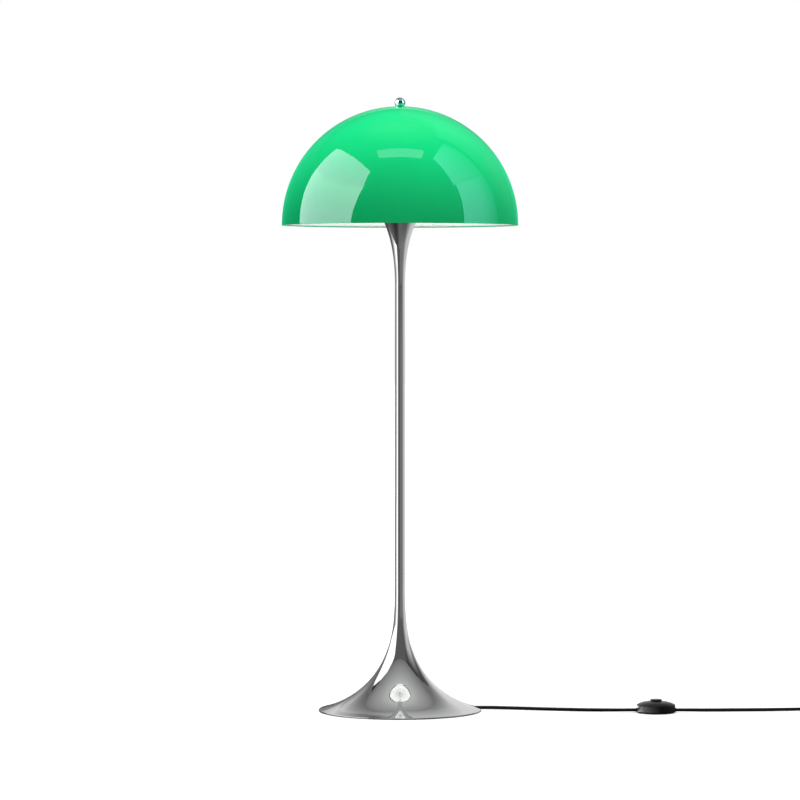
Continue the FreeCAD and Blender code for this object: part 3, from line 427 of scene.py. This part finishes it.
def make_ceiling_cards():
    """The underside of the split, which the foot, the stem and the flare show."""
    ceiling = SPLIT_Z
    over = SPLIT_Z - LEVEL_STEP
    sector("low_ring_inner", ceiling, FULL_TURN, (STEM_GAP, 0.5), (0.62, 0.62, 0.43, 0.43))
    sector("low_ring_outer", ceiling, FULL_TURN, (0.5, 0.98), (0.43, 0.43, 0.19, 0.19))
    sector("low_front", ceiling, (-48.0, 50.0), (0.98, ROOM), even(0.125))
    sector("low_front_right", ceiling, (50.0, 62.0), (1.02, ROOM), (0.1, 0.06, 0.2, 0.5))
    sector("low_right_front", ceiling, (62.0, 72.0), (1.05, 2.2), (0.06, 0.05, 0.24, 0.42))
    sector("low_right_front_far", ceiling, (62.0, 72.0), (2.2, ROOM), (0.24, 0.42, 0.36, 0.52))
    sector("low_right", ceiling, (72.0, 104.0), (1.04, 2.0), (0.05, 0.04, 0.55, 0.6))
    sector("low_right_far", ceiling, (72.0, 104.0), (2.0, ROOM), (0.55, 0.66, 0.55, 0.95))
    sector("low_right_back", ceiling, (104.0, 120.0), (1.04, 1.12, 2.6, 2.6),
           (0.05, 0.05, 0.66, 0.3))
    sector("low_right_back_far", ceiling, (104.0, 120.0), (2.6, ROOM), (0.66, 0.3, 0.9, 0.8))
    sector("low_right_band", ceiling, (120.0, 137.0), (1.12, 1.42, 2.2, 2.2),
           (0.07, 0.09, 0.08, 0.16))
    sector("low_right_band_far", ceiling, (120.0, 137.0), (2.2, ROOM), (0.08, 0.16, 0.6, 0.9))
    sector("low_right_lap", ceiling + 0.5 * LEVEL_STEP, (104.0, 137.0), (0.96, 1.5), even(0.2))
    sector("low_back_right", over, (137.0, 160.0), (0.98, 0.75, 2.2, 2.2), (0.2, 0.25, 0.3, 0.82))
    sector("low_back_right_far", over, (137.0, 160.0), (2.2, ROOM), (0.35, 0.82, 0.6, 1.0))
    sector("low_back_near", over, (160.0, 180.0), (0.75, 0.55, 0.9, 0.9),
           (0.24, 0.36, 0.34, 0.58))
    sector("low_back", over, (160.0, 180.0), (0.9, 2.2), (0.34, 0.58, 0.78, 0.7))
    sector("low_back_far", over, (160.0, 180.0), (2.2, ROOM), (0.78, 0.8, 1.0, 0.6))
    sector("low_back_left_near", over, (-180.0, -166.0), (0.55, 0.8, 0.98, 0.98),
           (0.36, 0.24, 0.56, 0.34))
    for name, azimuths, near, dip, rise, far in (
            ("a", (-180.0, -173.0), (0.56, 0.46), (0.4, 0.12), (0.46, 0.26), (0.76, 0.72)),
            ("b", (-173.0, -166.0), (0.46, 0.34), (0.12, 0.28), (0.26, 0.5), (0.72, 0.74))):
        sector("low_back_left_dip_" + name, over, azimuths, (0.98, 1.32), (*near, *dip))
        sector("low_back_left_rise_" + name, over, azimuths, (1.32, 1.75), (*dip, *rise))
        sector("low_back_left_rest_" + name, over, azimuths, (1.75, 2.5), (*rise, *far))
    sector("low_back_left_far", over, (-180.0, -166.0), (2.5, 4.2), (0.8, 0.78, 0.66, 0.5))
    sector("low_side_left", over, (-166.0, -141.0), (0.8, 0.98, 2.1, 2.1), (0.22, 0.17, 0.76, 0.2))
    sector("low_side_left_far", over, (-166.0, -152.0), (2.1, 3.0), (0.76, 0.4, 0.42, 0.22))
    sector("low_side_left_end", over, (-152.0, -141.0), (2.1, 2.8), (0.4, 0.2, 0.24, 0.11))
    sector("low_side_left_gap", over, (-166.0, -141.0), (3.0, 3.4), (0.42, 0.12, 0.34, 0.12))
    sector("low_side_left_gap_end", over, (-152.0, -141.0), (2.8, 3.0), (0.24, 0.11, 0.22, 0.11))
    sector("low_side_left_room", ceiling - 0.5 * LEVEL_STEP, (-180.0, -131.0), (3.4, ROOM),
           (0.46, 0.12, 0.12, 0.1))
    sector("low_side_left_edge", ceiling, (-141.0, -131.0), (0.98, ROOM), (0.16, 0.2, 0.2, 0.3))

    def beside(across, up):
        inner = (-0.9 - 0.035 * across, -0.88 + 1.66 * across)
        outer = on_ring(-46.0 - 86.0 * across, ROOM, 0.0)
        x = inner[0] + (outer[0] - inner[0]) * up
        y = inner[1] + (outer[1] - inner[1]) * up
        return (x, y, over)
    card("low_left_box", beside, even(1.6))


def make_far_cards():
    """The far floor and the far walls up to the split, in stripes about the lamp."""
    for name, azimuths, on_floor, low, bend, brim in (
            ("back", (-180.0, -150.0), (0.06, 0.06), (0.12, 0.16), (0.16, 0.24), (0.3, 0.5)),
            ("side_left", (-150.0, -120.0), (0.1, 0.08), (0.28, 0.14), (0.28, 0.14), (0.3, 0.3)),
            ("left_dim", (-120.0, -104.0), (0.2, 0.38), (0.34, 0.42), (0.34, 0.42), (0.34, 0.42)),
            ("left_grey", (-104.0, -78.5), (0.66, 1.0), (0.48, 0.58), (0.44, 0.54), (0.4, 0.5)),
            ("left_white", (-78.5, -46.2), (1.6, 1.4), (1.6, 1.4), (1.6, 1.4), (1.6, 1.4)),
            ("front_left", (-46.2, -14.0), (0.1, 0.12), (0.14, 0.12), (0.2, 0.13), (0.125, 0.125)),
            ("front", (-14.0, 2.0), (0.13, 0.14), (0.13, 0.14), (0.13, 0.14), (0.125, 0.125)),
            ("front_right", (2.0, 46.0), (0.22, 0.22), (0.22, 0.22), (0.22, 0.22), (0.125, 0.125)),
            ("right_front", (46.0, 76.0), (0.22, 0.42), (0.25, 0.4), (0.25, 0.4), (0.25, 0.4)),
            ("right", (76.0, 104.0), (0.68, 0.7), (0.66, 0.72), (0.64, 0.72), (0.62, 0.74)),
            ("back_right", (104.0, 180.0), (0.72, 0.76), (0.74, 0.8), (0.78, 0.82), (0.8, 0.9))):
        sector("low_floor_" + name, MAT_Z, azimuths, (MAT_REACH, ROOM), (*on_floor, *on_floor))
        upright("low_wall_" + name, azimuths, (0.0, WALL_BEND_Z), (*low, *bend), reach=ROOM)
        upright("low_wall_top_" + name, azimuths, (WALL_BEND_Z, SPLIT_Z), (*bend, *brim),
                reach=ROOM)


def make_mats():
    """The floor close to the foot."""
    for name, azimuths, glow in (
            ("back_left", (-180.0, -105.0), (0.03, 0.0, 0.1, 0.14)),
            ("left", (-105.0, -60.0), (0.0, 0.0, 0.2, 0.14)),
            ("front_left", (-60.0, -31.0), (0.0, 0.0, 0.1, 0.08)),
            ("front_shade", (-31.0, -15.5), (0.02, 0.07, 0.08, 0.12)),
            ("front", (-15.5, 14.5), (0.1, 0.1, 0.2, 0.23)),
            ("front_right", (14.5, 60.0), (0.06, 0.0, 0.25, 0.25)),
            ("right", (60.0, 90.0), (0.0, 0.0, 0.28, 0.62)),
            ("right_back", (90.0, 180.0), (0.2, 0.3, 0.68, 0.7))):
        sector("mat_" + name, MAT_Z, azimuths, (MAT_FROM, MAT_REACH), glow)


def make_switch_glow(name, azimuths, glow, receivers):
    """A patch of floor beside the foot switch, which lights only the switch."""
    def place(across, up):
        reach = between(SWITCH_GLOW_REACHES, up)
        x, y, height = on_ring(between(azimuths, across), reach, 1.5 * MAT_Z)
        return (x + SWITCH[0] * MM, y + SWITCH[1] * MM, height)
    patch = card(name, place, (*glow, *glow))
    patch.light_linking.receiver_collection = receivers


def make_switch_glows():
    """The floor beside the switch is brighter to it than to the cord that lies there."""
    receivers = bpy.data.collections.new("switch_receivers")
    for name in ("switch_base", "switch_cover", "switch_button"):
        receivers.objects.link(NODES[name])
    for name, azimuths, glow in (
            ("back", (-170.0, -88.0), (4.0, 8.5)),
            ("side", (-88.0, -40.0), (8.5, 3.6)),
            ("front", (-40.0, 10.0), (3.6, 0.3))):
        make_switch_glow("switch_glow_" + name, azimuths, glow, receivers)


def make_high_cards():
    """What the shade and its ball show: dark floor, walls above the split, and the roof."""
    walls = (SPLIT_Z, ROOF_Z)
    box_heights = (SPLIT_Z, SPLIT_Z, ROOF_Z, ROOF_Z)
    sector("high_floor", SPLIT_Z + LEVEL_STEP, FULL_TURN, (STEM_GAP, REACH), even(0.04))
    upright("high_wall_front_left", (-46.0, -20.0), walls, (0.02, 0.03, 0.02, 0.05))
    upright("high_wall_front", (-20.0, 62.0), walls, (0.06, 0.09, 0.05, 0.08))
    wall("high_wall_right_box", (60.0, 84.0, 56.0, 84.0), box_heights,
         (4.6, 3.0, 4.7, 3.1), AQUA)
    upright("high_wall_right", (84.0, 107.0), walls, (3.1, 0.3, 3.0, 0.3), AQUA)
    upright("high_wall_right_back", (107.0, 140.0), walls, (0.08, 0.04, 0.12, 0.4))
    upright("high_wall_back_right", (140.0, 180.0), walls, (0.04, 0.38, 0.36, 0.6), BACK_TINT)
    upright("high_wall_back_left", (-180.0, -145.0), walls, (0.36, 0.08, 0.6, 0.25),
            BACK_LEFT_TINT)
    upright("high_wall_side_left", (-145.0, -110.0), walls, (0.08, 0.0, 0.25, 0.03),
            BACK_LEFT_TINT)
    upright("high_wall_far_right", (166.0, 180.0), walls, (0.2, 1.0, 0.5, 1.1),
            EDGE_TINT, REACH - 2.0 * REACH_STEP)
    upright("high_wall_far_left", (-180.0, -166.0), walls, (1.0, 0.2, 1.1, 0.5),
            EDGE_TINT, REACH - 2.0 * REACH_STEP)
    wall("high_wall_left_box", (-109.0, -47.0, -114.0, -39.0), box_heights,
         (5.7, 6.8, 5.9, 7.2), COOL, REACH - REACH_STEP)

    roof = ROOF_Z - LEVEL_STEP
    over = roof - LEVEL_STEP
    sector("roof_front", ROOF_Z, FULL_TURN, (0.0, REACH), even(0.05))

    def crown(across, up):
        x, y, height = on_ring(360.0 * across, CROWN_RADIUS * up, roof)
        return (x, y + CROWN_BACK, height)
    card("roof_crown", crown, (0.34, 0.34, 0.16, 0.16))
    sector("roof_back_left", roof, (-180.0, -125.0), (0.7, REACH), (0.48, 0.24, 0.22, 0.05),
           BACK_LEFT_TINT)
    sector("roof_back_middle", roof, (140.0, 180.0), (0.7, REACH), (0.75, 0.5, 0.4, 0.25),
           BACK_TINT)
    sector("roof_back_right", roof, (108.0, 140.0), (0.7, REACH), (0.5, 0.8, 0.2, 0.4), BACK_TINT)
    level("roof_left_box", over, ((-0.88, -1.18), (-1.28, 0.53), (-2.0, -2.41), (-3.4, 1.5)),
          (5.3, 4.4, 6.4, 5.6), COOL_ROOF)
    level("roof_right_box", over, ((0.79, -0.63), (0.83, 0.1), (3.04, -1.74), (3.2, 0.95)),
          (3.8, 0.8, 3.8, 0.5), AQUA)
    level("roof_arc", over, ((-0.5, -0.76), (0.51, -0.76), (-0.5, -0.46), (0.51, -0.46)),
          (2.2, 2.3, 1.6, 1.7), ARC_TINT, bow=0.04)


def make_cards():
    make_ceiling_cards()
    make_far_cards()
    make_mats()
    make_switch_glows()
    make_high_cards()


def show_white(nodes):
    """Is this a camera, glossy or transmission ray? 1 or more if it is."""
    path = nodes.new("ShaderNodeLightPath")
    tree = path.id_data
    first = nodes.new("ShaderNodeMath")
    first.operation = "MAXIMUM"
    second = nodes.new("ShaderNodeMath")
    second.operation = "MAXIMUM"
    tree.links.new(path.outputs["Is Camera Ray"], first.inputs[0])
    tree.links.new(path.outputs["Is Glossy Ray"], first.inputs[1])
    tree.links.new(first.outputs["Value"], second.inputs[0])
    tree.links.new(path.outputs["Is Transmission Ray"], second.inputs[1])
    return second.outputs["Value"]


SKY_LIGHT = 0.12
FLOOR_SIZE = 60.0
FLOOR_Z = -0.15 * MM
FLOOR_SEEN = 0.9
FLOOR_UNSEEN = 0.28
FLOOR_LIFT = 0.12


def make_world():
    world = bpy.data.worlds.new("studio")
    bpy.context.scene.world = world
    world.use_nodes = True
    nodes, links = world.node_tree.nodes, world.node_tree.links
    background = nodes["Background"]
    background.inputs["Color"].default_value = (1.0, 1.0, 1.0, 1.0)
    strength = nodes.new("ShaderNodeMapRange")
    strength.inputs["To Min"].default_value = SKY_LIGHT
    strength.inputs["To Max"].default_value = 1.0
    links.new(show_white(nodes), strength.inputs["Value"])
    links.new(strength.outputs["Result"], background.inputs["Strength"])


def make_floor():
    mesh = bpy.data.meshes.new("floor")
    half = FLOOR_SIZE / 2.0
    corners = ((-half, -half), (half, -half), (half, half), (-half, half))
    mesh.from_pydata([(x, y, FLOOR_Z) for x, y in corners], [], [(0, 1, 2, 3)])
    material = bpy.data.materials.new("floor_white")
    material.use_nodes = True
    nodes, links = material.node_tree.nodes, material.node_tree.links
    nodes.clear()
    white = show_white(nodes)
    colour = nodes.new("ShaderNodeMix")
    colour.data_type = "RGBA"
    colour.inputs["A"].default_value = (FLOOR_UNSEEN, FLOOR_UNSEEN, FLOOR_UNSEEN, 1.0)
    colour.inputs["B"].default_value = (FLOOR_SEEN, FLOOR_SEEN, FLOOR_SEEN, 1.0)
    paint = nodes.new("ShaderNodeBsdfDiffuse")
    lift = nodes.new("ShaderNodeEmission")
    strength = nodes.new("ShaderNodeMath")
    strength.operation = "MULTIPLY"
    strength.inputs[1].default_value = FLOOR_LIFT
    both = nodes.new("ShaderNodeAddShader")
    output = nodes.new("ShaderNodeOutputMaterial")
    links.new(white, colour.inputs["Factor"])
    links.new(colour.outputs["Result"], paint.inputs["Color"])
    links.new(white, strength.inputs[0])
    links.new(strength.outputs["Value"], lift.inputs["Strength"])
    links.new(paint.outputs["BSDF"], both.inputs[0])
    links.new(lift.outputs["Emission"], both.inputs[1])
    links.new(both.outputs["Shader"], output.inputs["Surface"])
    mesh.materials.append(material)
    floor = add_object("floor", mesh)


SUN_SHARE = 1.27
SUN_SOFTNESS = 60.0
SUN_TILT_FRONT = -2.0
SUN_TILT_RIGHT = 2.5
FILL_SIZE = 0.47
FILL_POWER = 0.9
FILL_Z = 1.03


def make_lamps():
    sun = bpy.data.lights.new("overhead", "SUN")
    sun.energy = math.pi * SUN_SHARE
    sun.angle = math.radians(SUN_SOFTNESS)
    overhead = bpy.data.objects.new("overhead", sun)
    overhead.rotation_euler = (math.radians(SUN_TILT_FRONT), math.radians(SUN_TILT_RIGHT), 0.0)
    overhead.visible_glossy = False
    bpy.context.scene.collection.objects.link(overhead)

    fill = bpy.data.lights.new("shade_fill", "AREA")
    fill.shape = "DISK"
    fill.size = FILL_SIZE
    fill.energy = FILL_POWER
    under = bpy.data.objects.new("shade_fill", fill)
    under.location = (0.0, 0.0, FILL_Z)
    under.rotation_euler = (math.pi, 0.0, 0.0)
    under.visible_glossy = False
    under.visible_camera = False
    bpy.context.scene.collection.objects.link(under)


CAMERA_PLACE = (0.0, -7.5996, 0.8722)
CAMERA_PITCH = 1.6025
CAMERA_LENS = 161.514
SENSOR = 36.0


def make_camera():
    lens = bpy.data.cameras.new("camera")
    lens.sensor_width = SENSOR
    lens.lens = CAMERA_LENS
    lens.clip_end = 200.0
    camera = bpy.data.objects.new("camera", lens)
    camera.location = CAMERA_PLACE
    camera.rotation_euler = (math.radians(90.0 - CAMERA_PITCH), 0.0, 0.0)
    bpy.context.scene.collection.objects.link(camera)
    bpy.context.scene.camera = camera


make_camera()
dress_nodes()
make_cords()
squash_spring()
make_world()
make_floor()
make_lamps()
make_cards()
bpy.context.scene.view_settings.view_transform = "Standard"
